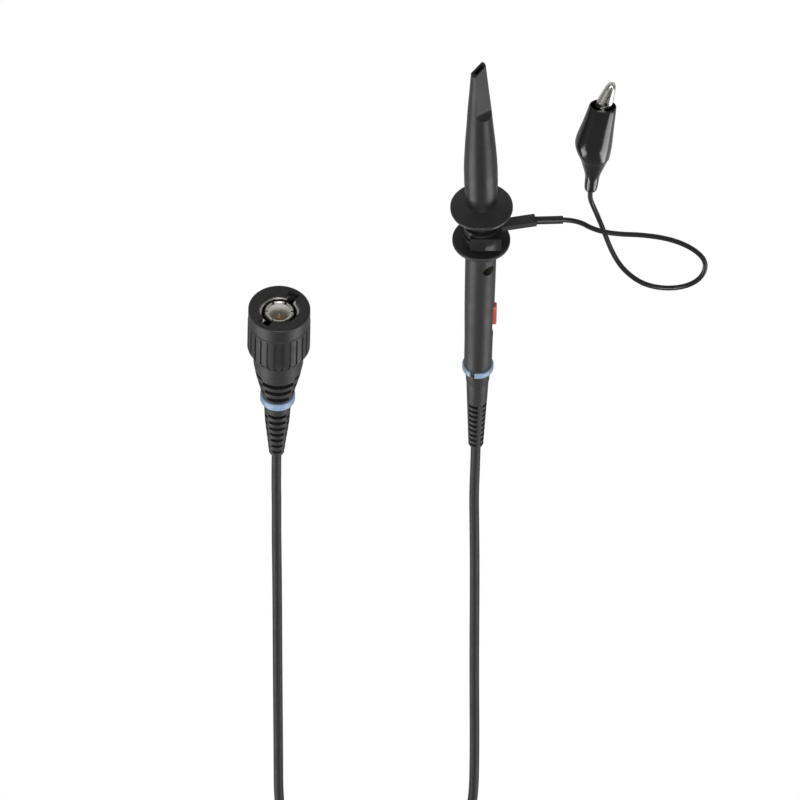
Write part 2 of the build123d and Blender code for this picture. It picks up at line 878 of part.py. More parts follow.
# ------------------------------------------------------------------ main cable
# Both ends come down to the surface, run back side by side and enter the stored coil.
probe_cable_points = [
    (0, guard_y + strain_end, axis_z),
    (0.02, 90.0, 8.45),
    (0.05, 104.0, 5.3),
    (-0.35, 120.0, 1.75),
    (-0.85, 142.0, 1.42),
    (-1.35, 180.0, 1.40),
    (-2.15, 217.0, 1.42),
    (-2.20, 238.0, 1.45),
    (-0.20, 248.5, 1.60),
    (3.20, 257.5, 1.85),
    (coil_x - 20.6, coil_y, 1.90),
]
plug_cable_points = [
    (plug_x, plug_y + plug_end, plug_z),
    (plug_x - 0.05, 94.5, 8.5),
    (plug_x - 0.35, 108.5, 5.3),
    (plug_x - 0.50, 124.5, 1.75),
    (plug_x - 1.00, 147.0, 1.42),
    (plug_x - 1.60, 184.0, 1.40),
    (plug_x - 2.25, 219.0, 1.42),
    (plug_x - 2.55, 238.0, 1.45),
    (plug_x - 3.90, 248.5, 1.60),
    (plug_x - 6.20, 257.5, 1.85),
    (coil_x + 22.8, coil_y, 1.90),
]

with BuildPart() as cable_probe_run:
    tube_along(probe_cable_points, cable_r, "cable_probe_run")

with BuildPart() as cable_connector_run:
    tube_along(plug_cable_points, cable_r, "cable_connector_run")

# The rest of the cable, wound in a round coil two layers high, and the tie that holds it.
strand = cable_d + 0.05
coil_height = 2 * strand
coil_width = coil_outer_r - coil_inner_r
coil_length = 2 * math.pi * coil_turn_r * coil_turns
print(f"cable in the coil {coil_length:.0f} mm")
coil_plane = Plane.XY.offset(coil_bottom)
with BuildPart() as cable_coil:
    with BuildSketch(coil_plane):
        with Locations((coil_x, coil_y)):
            Circle(coil_outer_r)
            Circle(coil_inner_r, mode=Mode.SUBTRACT)
    extrude(amount=coil_height)
    fillet(cable_coil.edges().filter_by(GeomType.CIRCLE), 1.3)

tie_thick = 0.45
tie_width = 3.0
tie_plane = Plane(
    origin=(coil_x - tie_width / 2, coil_y + coil_inner_r + coil_width / 2, coil_bottom),
    x_dir=(0, 1, 0),
    z_dir=(1, 0, 0),
)
with BuildPart() as coil_tie:
    with BuildSketch(tie_plane):
        with Locations((0, coil_height / 2)):
            RectangleRounded(
                coil_width + 2 * tie_thick + 0.1,
                coil_height + 2 * tie_thick,
                1.5,
            )
            RectangleRounded(
                coil_width + 0.1,
                coil_height + 0.04,
                1.2,
                mode=Mode.SUBTRACT,
            )
    extrude(amount=tie_width)

# ------------------------------------------------------------------ write the pieces
pieces = {
    "handle_shell": handle_shell,
    "shield_tube": shield_tube,
    "ground_barrel": ground_barrel,
    "nose_insulator": nose_insulator,
    "tip_needle": tip_needle,
    "divider_board": divider_board,
    "divider_chips": divider_chips,
    "trimmer_body": trimmer_body,
    "trimmer_screw": trimmer_screw,
    "switch_knob": switch_knob,
    "switch_contact": switch_contact,
    "probe_colour_ring": probe_colour_ring,
    "probe_strain_relief": probe_strain_relief,
    "probe_cable_end": probe_cable_end,
    "hook_carrier": hook_carrier,
    "hook_socket": hook_socket,
    "hook_wire": hook_wire,
    "hook_spring": hook_spring,
    "hook_sleeve": hook_sleeve,
    "ground_clip_ring": ground_clip_ring,
    "ground_ring_cover": ground_ring_cover,
    "ground_lead_sleeve": ground_lead_sleeve,
    "ground_lead": ground_lead,
    "clip_boot": clip_boot,
    "clip_wire_end": clip_wire_end,
    "clip_fixed_jaw": clip_fixed_jaw,
    "clip_moving_jaw": clip_moving_jaw,
    "clip_pivot_pin": clip_pivot_pin,
    "clip_spring": clip_spring,
    "bnc_grip_sleeve": bnc_grip_sleeve,
    "bnc_bayonet_nut": bnc_bayonet_nut,
    "bnc_wave_washer": bnc_wave_washer,
    "bnc_retaining_ring": bnc_retaining_ring,
    "bnc_outer_contact": bnc_outer_contact,
    "bnc_insulator": bnc_insulator,
    "bnc_centre_pin": bnc_centre_pin,
    "bnc_gasket": bnc_gasket,
    "bnc_crimp_ferrule": bnc_crimp_ferrule,
    "connector_boot": connector_boot,
    "bnc_colour_ring": bnc_colour_ring,
    "connector_cable_end": connector_cable_end,
    "cable_probe_run": cable_probe_run,
    "cable_connector_run": cable_connector_run,
    "cable_coil": cable_coil,
    "coil_tie": coil_tie,
}

os.makedirs("parts", exist_ok=True)
for name, piece in pieces.items():
    piece.part.label = name
    export_step(piece.part, f"parts/{name}.step")
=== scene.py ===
import math

import bpy
from mathutils import Matrix, Vector


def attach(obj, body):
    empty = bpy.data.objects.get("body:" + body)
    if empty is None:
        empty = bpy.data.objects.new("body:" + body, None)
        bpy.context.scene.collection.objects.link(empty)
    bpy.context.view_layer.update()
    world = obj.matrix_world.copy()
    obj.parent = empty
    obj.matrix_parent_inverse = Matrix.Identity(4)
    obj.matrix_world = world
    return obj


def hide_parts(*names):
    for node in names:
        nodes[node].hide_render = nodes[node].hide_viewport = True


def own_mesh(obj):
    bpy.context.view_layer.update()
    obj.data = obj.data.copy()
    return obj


# An oscilloscope probe lying on a white table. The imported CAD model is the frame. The
# object's shapes are in millimetres, and mm turns them into metres.
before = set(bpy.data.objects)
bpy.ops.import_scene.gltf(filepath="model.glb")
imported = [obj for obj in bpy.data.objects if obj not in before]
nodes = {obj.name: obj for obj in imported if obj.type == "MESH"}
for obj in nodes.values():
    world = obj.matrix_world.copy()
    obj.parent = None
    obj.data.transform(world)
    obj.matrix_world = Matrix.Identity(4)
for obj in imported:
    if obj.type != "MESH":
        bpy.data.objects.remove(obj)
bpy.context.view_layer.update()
bpy.ops.object.select_all(action="DESELECT")
mm = 0.001

# ---------------------------------------------------------------- camera
# A long lens looks along the probe from its tip end, with the camera held upside down.
camera_yaw = math.radians(0.91)
camera_elevation = math.radians(41.7)
camera_aim = Vector((21.19, 70.25, 0)) * mm
camera_width = 222.2 * mm
lens = 1400
sensor = 36

ahead = Vector((-math.sin(camera_yaw), math.cos(camera_yaw), 0))
sideways = Vector((math.cos(camera_yaw), math.sin(camera_yaw), 0))
upwards = Vector((0, 0, 1))
camera_back = upwards * math.sin(camera_elevation) - ahead * math.cos(camera_elevation)
camera_up = -(ahead * math.sin(camera_elevation) + upwards * math.cos(camera_elevation))
camera_data = bpy.data.cameras.new("camera")
camera_data.lens = lens
camera_data.sensor_width = sensor
camera_data.clip_start = 0.1
camera_data.clip_end = 60
camera = bpy.data.objects.new("camera", camera_data)
bpy.context.scene.collection.objects.link(camera)
distance = camera_width * lens / sensor
turned = Matrix((-sideways, camera_up, camera_back)).transposed().to_4x4()
camera.matrix_world = Matrix.Translation(camera_aim + camera_back * distance) @ turned
bpy.context.scene.camera = camera

# ---------------------------------------------------------------- cords
# The cords' diameters, and how far apart the turns of the coil lie.
cable_d = 2.75
wire_d = 1.4
strand = 2.8


def cord_curve(name, points, diameter):
    """A round cord on one smooth line, from points in millimetres."""
    data = bpy.data.curves.new(name, "CURVE")
    data.dimensions = "3D"
    line = data.splines.new("NURBS")
    line.points.add(len(points) - 1)
    for knot, (x, y, z) in zip(line.points, points):
        knot.co = (x * mm, y * mm, z * mm, 1)
        knot.radius = mm
    line.order_u = 3
    line.use_endpoint_u = True
    line.resolution_u = 8
    data.bevel_depth = diameter / 2
    data.bevel_resolution = 6
    data.use_fill_caps = True
    cord = bpy.data.objects.new(name, data)
    bpy.context.scene.collection.objects.link(cord)
    return cord


guard_y = -6.9
axis_z = 8.65
strain_end = 85.5
plug_x = 55.3
plug_y = 22.9
plug_z = 8.7
plug_end = 60.0
coil_x = 25.2
coil_y = 266.0
coil_start_r = 20.6
coil_turns = 7.5
points_per_turn = 16
floor_layer = 1.9
# The turns at which the coil stops winding inwards, climbs, steps outwards and comes down,
# and how much of a turn each of the last three takes.
inwards_until = 3.2
climb_start = 3.0
climb_length = 0.55
outwards_start = 3.9
outwards_length = 0.35
outwards_laps = 4
descent_start = 7.1
descent_length = 0.45

probe_run = [
    (0, guard_y + strain_end, axis_z),
    (0.02, 90.0, 8.45),
    (0.05, 104.0, 5.3),
    (-0.35, 120.0, 1.75),
    (-0.85, 142.0, 1.42),
    (-1.35, 180.0, 1.40),
    (-2.15, 217.0, 1.42),
    (-2.20, 238.0, 1.45),
    (-0.20, 248.5, 1.60),
    (3.20, 257.5, 1.85),
]
plug_run = [
    (plug_x, plug_y + plug_end, plug_z),
    (plug_x - 0.05, 94.5, 8.5),
    (plug_x - 0.35, 108.5, 5.3),
    (plug_x - 0.50, 124.5, 1.75),
    (plug_x - 1.00, 147.0, 1.42),
    (plug_x - 1.60, 184.0, 1.40),
    (plug_x - 2.25, 219.0, 1.42),
    (plug_x - 2.55, 238.0, 1.45),
    (plug_x - 3.90, 248.5, 1.60),
    (plug_x - 6.20, 257.5, 1.85),
]


def eased(value):
    """0 below 0, 1 above 1, and a smooth step between."""
    value = min(max(value, 0), 1)
    return value * value * (3 - 2 * value)


def coil_place(turn):
    """Where the stored cable lies after so many turns: wound inwards on the table, then
    outwards in a second layer, and down again outside the first."""
    radius = coil_start_r - strand * min(turn, inwards_until)
    for lap in range(outwards_laps):
        radius += strand * eased((turn - outwards_start - lap) / outwards_length)
    height = floor_layer + strand * eased((turn - climb_start) / climb_length)
    height -= strand * eased((turn - descent_start) / descent_length)
    angle = math.pi - turn * 2 * math.pi
    return (coil_x + radius * math.cos(angle), coil_y + radius * math.sin(angle), height)


coil_run = [
    coil_place(step / points_per_turn) for step in range(int(coil_turns * points_per_turn) + 1)
]
main_cable = cord_curve("main_cable", probe_run + coil_run + plug_run[::-1], cable_d)
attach(main_cable, "probe")
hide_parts("cable_probe_run", "cable_coil", "cable_connector_run")

lead_run = [
    (-21.95, -9.80, 4.15),
    (-26.25, -9.52, 3.90),
    (-31.33, -5.10, 3.60),
    (-37.35, -3.09, 3.20),
    (-45.48, -1.42, 1.90),
    (-53.53, 1.75, 0.80),
    (-59.70, 6.05, 0.75),
    (-62.69, 11.20, 0.75),
    (-61.48, 17.22, 0.75),
    (-57.34, 21.00, 0.75),
    (-51.16, 22.00, 0.75),
    (-44.93, 20.10, 0.75),
    (-39.63, 14.37, 0.75),
    (-36.32, 7.02, 0.75),
    (-33.77, -2.14, 0.75),
    (-31.76, -8.91, 0.75),
    (-29.97, -14.88, 1.30),
    (-29.75, -19.30, 3.00),
    (-29.85, -23.60, 4.40),
]
ground_wire = cord_curve("ground_wire", lead_run, wire_d)
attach(ground_wire, "ground_ring")
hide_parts("ground_lead")

# ---------------------------------------------------------------- finishes


def shader_group(name, inputs):
    """An empty shader node group with the given number inputs and its two end nodes."""
    group = bpy.data.node_groups.new(name, "ShaderNodeTree")
    for label, value in inputs:
        socket = group.interface.new_socket(label, in_out="INPUT", socket_type="NodeSocketFloat")
        socket.default_value = value
    entry = group.nodes.new("NodeGroupInput")
    leave = group.nodes.new("NodeGroupOutput")
    return group, entry, leave


def group_noise(group, entry, detail, roughness):
    """A noise texture on Object coordinates inside a group, scaled by its Size input."""
    place = group.nodes.new("ShaderNodeTexCoord")
    noise = group.nodes.new("ShaderNodeTexNoise")
    noise.inputs["Detail"].default_value = detail
    noise.inputs["Roughness"].default_value = roughness
    group.links.new(place.outputs["Object"], noise.inputs["Vector"])
    group.links.new(entry.outputs["Size"], noise.inputs["Scale"])
    return noise


# Moulded grain: the fine pebbled skin of an injection-moulded or rubbery part.
moulded_grain, grain_in, grain_out = shader_group("moulded_grain", [("Size", 3000.0)])
moulded_grain.interface.new_socket("Height", in_out="OUTPUT", socket_type="NodeSocketFloat")
grain_noise = group_noise(moulded_grain, grain_in, 3, 0.6)
moulded_grain.links.new(grain_noise.outputs["Fac"], grain_out.inputs["Height"])

# Handling marks: broad, faint patches where the surface is a little shinier or duller.
handling_marks, marks_in, marks_out = shader_group(
    "handling_marks", [("Size", 160.0), ("Low", 0.4), ("High", 0.5)]
)
handling_marks.interface.new_socket("Roughness", in_out="OUTPUT", socket_type="NodeSocketFloat")
marks_noise = group_noise(handling_marks, marks_in, 4, 0.6)
marks_range = handling_marks.nodes.new("ShaderNodeMapRange")
marks_range.inputs["From Min"].default_value = 0.3
marks_range.inputs["From Max"].default_value = 0.7
handling_marks.links.new(marks_noise.outputs["Fac"], marks_range.inputs["Value"])
handling_marks.links.new(marks_in.outputs["Low"], marks_range.inputs["To Min"])
handling_marks.links.new(marks_in.outputs["High"], marks_range.inputs["To Max"])
handling_marks.links.new(marks_range.outputs["Result"], marks_out.inputs["Roughness"])

# Tone drift: two close colours mixed in soft clouds.
tone_drift, drift_in, drift_out = shader_group("tone_drift", [("Size", 90.0)])
for label in ("Dark", "Light"):
    tone_drift.interface.new_socket(label, in_out="INPUT", socket_type="NodeSocketColor")
tone_drift.interface.new_socket("Color", in_out="OUTPUT", socket_type="NodeSocketColor")
drift_noise = group_noise(tone_drift, drift_in, 5, 0.65)
drift_mix = tone_drift.nodes.new("ShaderNodeMix")
drift_mix.data_type = "RGBA"
tone_drift.links.new(drift_noise.outputs["Fac"], drift_mix.inputs["Factor"])
tone_drift.links.new(drift_in.outputs["Dark"], drift_mix.inputs["A"])
tone_drift.links.new(drift_in.outputs["Light"], drift_mix.inputs["B"])
tone_drift.links.new(drift_mix.outputs["Result"], drift_out.inputs["Color"])


def finish_of(
    name,
    dark,
    light,
    rough,
    grain_size=3000,
    grain_depth=0.006,
    metal=0.0,
    coat=0.0,
):
    """A material with drifting tone, uneven gloss and a fine grain in its surface. The grain's
    depth is in millimetres, and a larger grain_size is a finer grain."""
    material = bpy.data.materials.new(name)
    material.use_nodes = True
    tree = material.node_tree
    shader = tree.nodes["Principled BSDF"]
    tone = tree.nodes.new("ShaderNodeGroup")
    tone.node_tree = tone_drift
    tone.inputs["Dark"].default_value = (*dark, 1)
    tone.inputs["Light"].default_value = (*light, 1)
    tree.links.new(tone.outputs["Color"], shader.inputs["Base Color"])
    marks = tree.nodes.new("ShaderNodeGroup")
    marks.node_tree = handling_marks
    marks.inputs["Low"].default_value = rough[0]
    marks.inputs["High"].default_value = rough[1]
    tree.links.new(marks.outputs["Roughness"], shader.inputs["Roughness"])
    grain = tree.nodes.new("ShaderNodeGroup")
    grain.node_tree = moulded_grain
    grain.inputs["Size"].default_value = grain_size
    bump = tree.nodes.new("ShaderNodeBump")
    bump.inputs["Strength"].default_value = 0.5
    bump.inputs["Distance"].default_value = grain_depth * mm
    tree.links.new(grain.outputs["Height"], bump.inputs["Height"])
    tree.links.new(bump.outputs["Normal"], shader.inputs["Normal"])
    shader.inputs["Metallic"].default_value = metal
    shader.inputs["Coat Weight"].default_value = coat
    shader.inputs["Coat Roughness"].default_value = 0.12
    return material


handle_plastic = finish_of("handle_plastic", (0.022,) * 3, (0.030,) * 3, (0.42, 0.52), 2600, 0.02)
sleeve_plastic = finish_of("sleeve_plastic", (0.016,) * 3, (0.022,) * 3, (0.34, 0.44), 3200, 0.012)
cover_plastic = finish_of("cover_plastic", (0.016,) * 3, (0.024,) * 3, (0.36, 0.48), 3000, 0.015)
relief_rubber = finish_of("relief_rubber", (0.022,) * 3, (0.030,) * 3, (0.46, 0.56), 2400, 0.02)
grip_plastic = finish_of("grip_plastic", (0.018,) * 3, (0.026,) * 3, (0.40, 0.52), 2600, 0.02)
cable_jacket = finish_of("cable_jacket", (0.016,) * 3, (0.022,) * 3, (0.50, 0.60), 2000, 0.015)
wire_jacket = finish_of("wire_jacket", (0.012,) * 3, (0.018,) * 3, (0.28, 0.38), 2600, 0.008)
boot_vinyl = finish_of("boot_vinyl", (0.010,) * 3, (0.014,) * 3, (0.14, 0.22), 700, 0.03, coat=0.4)
ring_blue = finish_of(
    "ring_blue", (0.28, 0.41, 0.58), (0.33, 0.46, 0.63), (0.24, 0.32), 1500, 0.006
)
switch_red = finish_of(
    "switch_red", (0.58, 0.08, 0.07), (0.66, 0.11, 0.09), (0.30, 0.40), 2600, 0.012
)
white_insulator = finish_of(
    "white_insulator", (0.84, 0.83, 0.79), (0.90, 0.89, 0.86), (0.38, 0.48), 1800, 0.01
)
nose_plastic = finish_of("nose_plastic", (0.05,) * 3, (0.07,) * 3, (0.35, 0.45), 2600, 0.01)
satin_nickel = finish_of(
    "satin_nickel", (0.76, 0.745, 0.70), (0.84, 0.825, 0.78), (0.26, 0.38), 4200, 0.006, metal=1.0
)
bright_nickel = finish_of(
    "bright_nickel", (0.80, 0.785, 0.75), (0.86, 0.845, 0.81), (0.24, 0.34), 3000, 0.004, metal=1.0
)
spring_steel = finish_of(
    "spring_steel", (0.50, 0.50, 0.51), (0.58, 0.58, 0.59), (0.22, 0.32), 3600, 0.004, metal=1.0
)
trimmer_brass = finish_of(
    "trimmer_brass", (0.52, 0.37, 0.16), (0.60, 0.44, 0.20), (0.24, 0.34), 3600, 0.004, metal=1.0
)
pin_gold = finish_of(
    "pin_gold", (0.82, 0.56, 0.22), (0.88, 0.62, 0.28), (0.16, 0.26), 3600, 0.003, metal=1.0
)
gasket_rubber = finish_of("gasket_rubber", (0.05,) * 3, (0.07,) * 3, (0.5, 0.6), 2600, 0.01)
board_green = finish_of(
    "board_green", (0.04, 0.16, 0.08), (0.06, 0.22, 0.11), (0.3, 0.4), 2000, 0.01
)
chip_ceramic = finish_of("chip_ceramic", (0.50, 0.44, 0.34), (0.58, 0.52, 0.42), (0.4, 0.5))
tie_plastic = finish_of("tie_plastic", (0.018,) * 3, (0.024,) * 3, (0.36, 0.46), 2600, 0.01)

cad_finishes = {
    "handle_shell": handle_plastic,
    "shield_tube": satin_nickel,
    "ground_barrel": bright_nickel,
    "nose_insulator": nose_plastic,
    "tip_needle": spring_steel,
    "divider_board": board_green,
    "divider_chips": chip_ceramic,
    "trimmer_body": chip_ceramic,
    "trimmer_screw": trimmer_brass,
    "switch_knob": switch_red,
    "switch_contact": trimmer_brass,
    "probe_colour_ring": ring_blue,
    "probe_strain_relief": relief_rubber,
    "probe_cable_end": cable_jacket,
    "hook_carrier": handle_plastic,
    "hook_socket": satin_nickel,
    "hook_wire": bright_nickel,
    "hook_spring": spring_steel,
    "hook_sleeve": sleeve_plastic,
    "ground_clip_ring": bright_nickel,
    "ground_ring_cover": cover_plastic,
    "ground_lead_sleeve": cover_plastic,
    "clip_boot": boot_vinyl,
    "clip_wire_end": wire_jacket,
    "clip_fixed_jaw": bright_nickel,
    "clip_moving_jaw": bright_nickel,
    "clip_pivot_pin": spring_steel,
    "clip_spring": spring_steel,
    "bnc_grip_sleeve": grip_plastic,
    "bnc_bayonet_nut": satin_nickel,
    "bnc_wave_washer": spring_steel,
    "bnc_retaining_ring": spring_steel,
    "bnc_outer_contact": satin_nickel,
    "bnc_insulator": white_insulator,
    "bnc_centre_pin": pin_gold,
    "bnc_gasket": gasket_rubber,
    "bnc_crimp_ferrule": satin_nickel,
    "connector_boot": relief_rubber,
    "bnc_colour_ring": ring_blue,
    "connector_cable_end": cable_jacket,
    "coil_tie": tie_plastic,
}
for name, finish in cad_finishes.items():
    nodes[name].data.materials.clear()
    nodes[name].data.materials.append(finish)
main_cable.data.materials.append(cable_jacket)
ground_wire.data.materials.append(wire_jacket)

# ---------------------------------------------------------------- modelling helpers
# Pieces are modelled in millimetres along +X and then set in place at their real size.


def select_only(piece):
    bpy.ops.object.select_all(action="DESELECT")
    piece.select_set(True)
    bpy.context.view_layer.objects.active = piece


def set_in_place(piece, origin, along, side):
    """Scale a piece from millimetres and stand its X along and its Y to the side given."""
    up = along.cross(side)
    axes = Matrix((along, side, up)).transposed().to_4x4()
    piece.matrix_world = Matrix.Translation(origin * mm) @ axes @ Matrix.Scale(mm, 4)
    select_only(piece)
    bpy.ops.object.transform_apply(location=True, rotation=True, scale=True)


def first_ring(name, sides):
    """A round ring of edges, 1 mm in radius, that faces along X. Edit mode is left on."""
    bpy.ops.mesh.primitive_circle_add(vertices=sides, radius=1, rotation=(0, math.pi / 2, 0))
    piece = bpy.context.object
    piece.name = name
    bpy.ops.object.transform_apply(rotation=True)
    bpy.ops.object.mode_set(mode="EDIT")
    bpy.ops.mesh.select_all(action="SELECT")
    return piece


def stretch_ring(middle, wide, high):
    """Make the selected ring so many times wider and higher about its middle."""
    bpy.ops.transform.resize(value=(1, wide, high), center_override=middle)


def next_ring(step):
    """Draw a further ring out of the selected one."""
    bpy.ops.mesh.extrude_region_move(TRANSFORM_OT_translate={"value": step})


def finish_shape(piece, smooth_angle):
    """Turn all faces outwards, leave edit mode and smooth the edges below an angle."""
    bpy.ops.mesh.select_all(action="SELECT")
    bpy.ops.mesh.normals_make_consistent(inside=False)
    bpy.ops.object.mode_set(mode="OBJECT")
    select_only(piece)
    bpy.ops.object.shade_smooth_by_angle(angle=math.radians(smooth_angle))


def apply_modifier(piece, kind, **settings):
    modifier = piece.modifiers.new(kind.lower(), kind)
    for key, value in settings.items():
        setattr(modifier, key, value)
    select_only(piece)
    bpy.ops.object.modifier_apply(modifier=modifier.name)


# ---------------------------------------------------------------- alligator clip
clip_yaw = math.radians(4.6)
clip_along = Vector((-math.sin(clip_yaw), -math.cos(clip_yaw), 0))
clip_side = Vector((0, 0, 1)).cross(clip_along)
clip_origin = Vector((-29.83, -23.08, 4.5))
pivot_s = 33.5
jaw_lean = math.sin(math.radians(9))
sheet_thickness = 0.32
sheet_edge_round = 0.05
teeth_start = 36.6
tooth_pitch = 0.82
tooth_count = 7

# The boot from its inner end, out over the lip of its mouth and back to its neck.
# Each row: distance from the neck end, shift to the side, half width, half height.
boot_rows = [
    (9.0, 0.15, 0.8, 0.8),
    (9.4, 0.15, 1.7, 1.6),
    (14.2, 0.4, 3.2, 2.7),
    (18.6, 0.9, 4.45, 3.6),
    (26.0, 0.5, 3.85, 2.95),
    (33.8, 0.05, 3.28, 2.05),
    (34.25, 0.05, 3.32, 2.08),
    (34.4, 0.05, 3.52, 2.22),
    (34.25, 0.05, 3.72, 2.38),
    (33.8, 0.05, 3.80, 2.46),
    (30.5, 0.25, 4.10, 2.98),
    (26.0, 0.60, 4.50, 3.55),
    (22.0, 0.95, 4.98, 4.05),
    (19.6, 1.10, 5.18, 4.26),
    (18.0, 1.05, 5.16, 4.24),
    (15.8, 0.80, 4.82, 4.02),
    (14.2, 0.45, 4.42, 3.74),
    (13.5, 0.35, 4.24, 3.60),
    (13.1, 0.35, 3.98, 3.38),
    (11.4, 0.25, 3.50, 3.04),
    (8.3, 0.15, 2.62, 2.42),
    (6.3, 0.10, 2.12, 2.04),
    (5.0, 0.05, 1.96, 1.92),
    (4.6, 0.05, 1.98, 1.94),
    (0.7, 0.00, 1.86, 1.84),
    (0.15, 0.00, 1.72, 1.70),
    (0.0, 0.00, 1.40, 1.40),
    (0.05, 0.00, 0.72, 0.72),
    (0.8, 0.00, 0.71, 0.71),
]
vinyl_boot = first_ring("vinyl_boot", 40)
place, shift, wide, high = boot_rows[0]
bpy.ops.transform.translate(value=(place, shift, 0))
stretch_ring((place, shift, 0), wide, high)
bpy.ops.mesh.edge_face_add()
bpy.ops.mesh.select_all(action="SELECT")
bpy.ops.mesh.select_mode(type="EDGE")
for next_place, next_shift, next_wide, next_high in boot_rows[1:]:
    next_ring((next_place - place, next_shift - shift, 0))
    stretch_ring((next_place, next_shift, 0), next_wide / wide, next_high / high)
    place, shift, wide, high = next_place, next_shift, next_wide, next_high
bpy.ops.mesh.edge_face_add()
finish_shape(vinyl_boot, 60)
apply_modifier(vinyl_boot, "SUBSURF", levels=1, render_levels=1)
set_in_place(vinyl_boot, clip_origin, clip_along, clip_side)
vinyl_boot.data.materials.append(boot_vinyl)
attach(vinyl_boot, "ground_ring")
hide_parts("clip_boot")


def folded_jaw(name, side, tail_rows, ear_height, nose_height):
    """One folded sheet-metal jaw: a strip of handle, two ears and a toothed, closed nose.
    Each row: distance along the clip, free edge, back of the fold, half height."""
    rows = tail_rows + [
        (24.0, 1.75, 2.65, 0.95),
        (29.5, 1.05, 2.40, ear_height),
        (31.6, 0.60, 2.35, ear_height),
        (32.4, -0.95, 2.35, ear_height),
        (34.5, -0.95, 2.30, ear_height),
        (35.3, 0.45, 2.28, ear_height),
        (36.2, 0.60, 2.24, nose_height),
    ]
    for i in range(tooth_count):
        root = teeth_start + tooth_pitch * i
        tooth_back = 2.20 - 0.12 * i
        tooth_height = nose_height - 0.05 * i
        rows.append((root, 0.42, tooth_back, tooth_height))
        rows.append((root + tooth_pitch / 2, 0.07, tooth_back - 0.03, tooth_height - 0.02))
    rows.append((42.6, 0.16, 1.22, nose_height - 0.42))
    rows.append((43.1, 0.10, 1.02, nose_height - 0.60))
    rows.append((43.4, 0.08, 0.76, nose_height - 0.90))
    piece = first_ring(name, 20)
    bpy.ops.mesh.select_all(action="DESELECT")
    bpy.ops.object.mode_set(mode="OBJECT")
    for vertex in piece.data.vertices:
        vertex.select = vertex.co.y < -0.001
    bpy.ops.object.mode_set(mode="EDIT")
    bpy.ops.mesh.delete(type="VERT")
    bpy.ops.mesh.select_all(action="SELECT")
    place, edge, back, height = rows[0]
    stretch_ring((0, 0, 0), back - edge, height)
    bpy.ops.transform.translate(value=(place, edge, 0))
    for next_place, next_edge, next_back, next_height in rows[1:]:
        # Past the pivot, both jaws lean to the same side of the clip.
        past_pivot = max(next_place - pivot_s, 0)
        lean = -side * (past_pivot - max(place - pivot_s, 0)) * jaw_lean
        next_ring((next_place - place, next_edge - edge + lean, 0))
        middle_y = next_edge - side * past_pivot * jaw_lean
        wider = (next_back - next_edge) / (back - edge)
        stretch_ring((next_place, middle_y, 0), wider, next_height / height)
        place, edge, back, height = next_place, next_edge, next_back, next_height
    bpy.ops.mesh.edge_face_add()
    bpy.ops.mesh.select_all(action="SELECT")
    bpy.ops.mesh.normals_make_consistent(inside=False)
    bpy.ops.object.mode_set(mode="OBJECT")
    apply_modifier(piece, "SOLIDIFY", thickness=sheet_thickness, offset=-1)
    apply_modifier(piece, "BEVEL", width=sheet_edge_round, segments=2, limit_method="ANGLE")
    if side < 0:
        piece.scale.y = -1
        select_only(piece)
        bpy.ops.object.transform_apply(scale=True)
    bpy.ops.object.mode_set(mode="EDIT")
    finish_shape(piece, 35)
    set_in_place(piece, clip_origin, clip_along, clip_side)
    piece.data.materials.append(bright_nickel)
    return piece


plain_tail = [(18.5, 2.65, 3.15, 0.85)]
crimped_tail = [
    (10.2, 0.0, 1.25, 1.2),
    (12.4, 0.0, 1.25, 1.2),
    (13.2, 0.75, 1.45, 0.9),
    (17.0, 2.45, 3.00, 0.85),
]
toothed_jaw = folded_jaw("toothed_jaw", 1, plain_tail, 0.98, 1.45)
backed_jaw = folded_jaw("backed_jaw", -1, crimped_tail, 1.48, 1.55)
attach(toothed_jaw, "clip_jaw")
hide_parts("clip_moving_jaw")
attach(backed_jaw, "ground_ring")
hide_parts("clip_fixed_jaw")

# ---------------------------------------------------------------- ground ring cover
# In millimetres, X runs from the guard towards the hook, Y away from the lead, and Z up.
probe_origin = Vector((0, guard_y, axis_z))
ring_bore = 3.12
cover_start = 0.5
cover_end = 6.1
cover_r = 4.9
collar_end = 3.1
collar_r = 5.35
cover_edge_round = 0.16
arm_place = 4.2
arm_drop = math.radians(14.5)
arm_sweep = math.radians(2.87)


def plain_block(near, far):
    """A box between two corners."""
    middle = [(a + b) / 2 for a, b in zip(near, far)]
    bpy.ops.mesh.primitive_cube_add(size=1, location=middle)
    block = bpy.context.object
    block.scale = [b - a for a, b in zip(near, far)]
    bpy.ops.object.transform_apply(location=True, rotation=True, scale=True)
    return block


def round_block(start, stop, radius):
    """A cylinder along X."""
    bpy.ops.mesh.primitive_cylinder_add(
        vertices=72,
        radius=radius,
        depth=stop - start,
        location=((start + stop) / 2, 0, 0),
        rotation=(0, math.pi / 2, 0),
    )
    bpy.ops.object.transform_apply(location=True, rotation=True, scale=True)
    return bpy.context.object


def combine(piece, other, operation):
    """Join another block to a piece, or cut it away, and throw the block away."""
    apply_modifier(piece, "BOOLEAN", operation=operation, object=other, solver="EXACT")
    bpy.data.objects.remove(other)


def lean_arm(block):
    """Tilt a block that runs along -Y down and back, and move it to the lead arm's place."""
    for angle, axis in ((arm_drop, "X"), (-arm_sweep, "Z")):
        select_only(block)
        bpy.ops.object.mode_set(mode="EDIT")
        bpy.ops.mesh.select_all(action="SELECT")
        bpy.ops.transform.rotate(value=-angle, orient_axis=axis, center_override=(0, 0, 0))
        bpy.ops.object.mode_set(mode="OBJECT")
    block.location.x = arm_place
    bpy.ops.object.transform_apply(location=True)


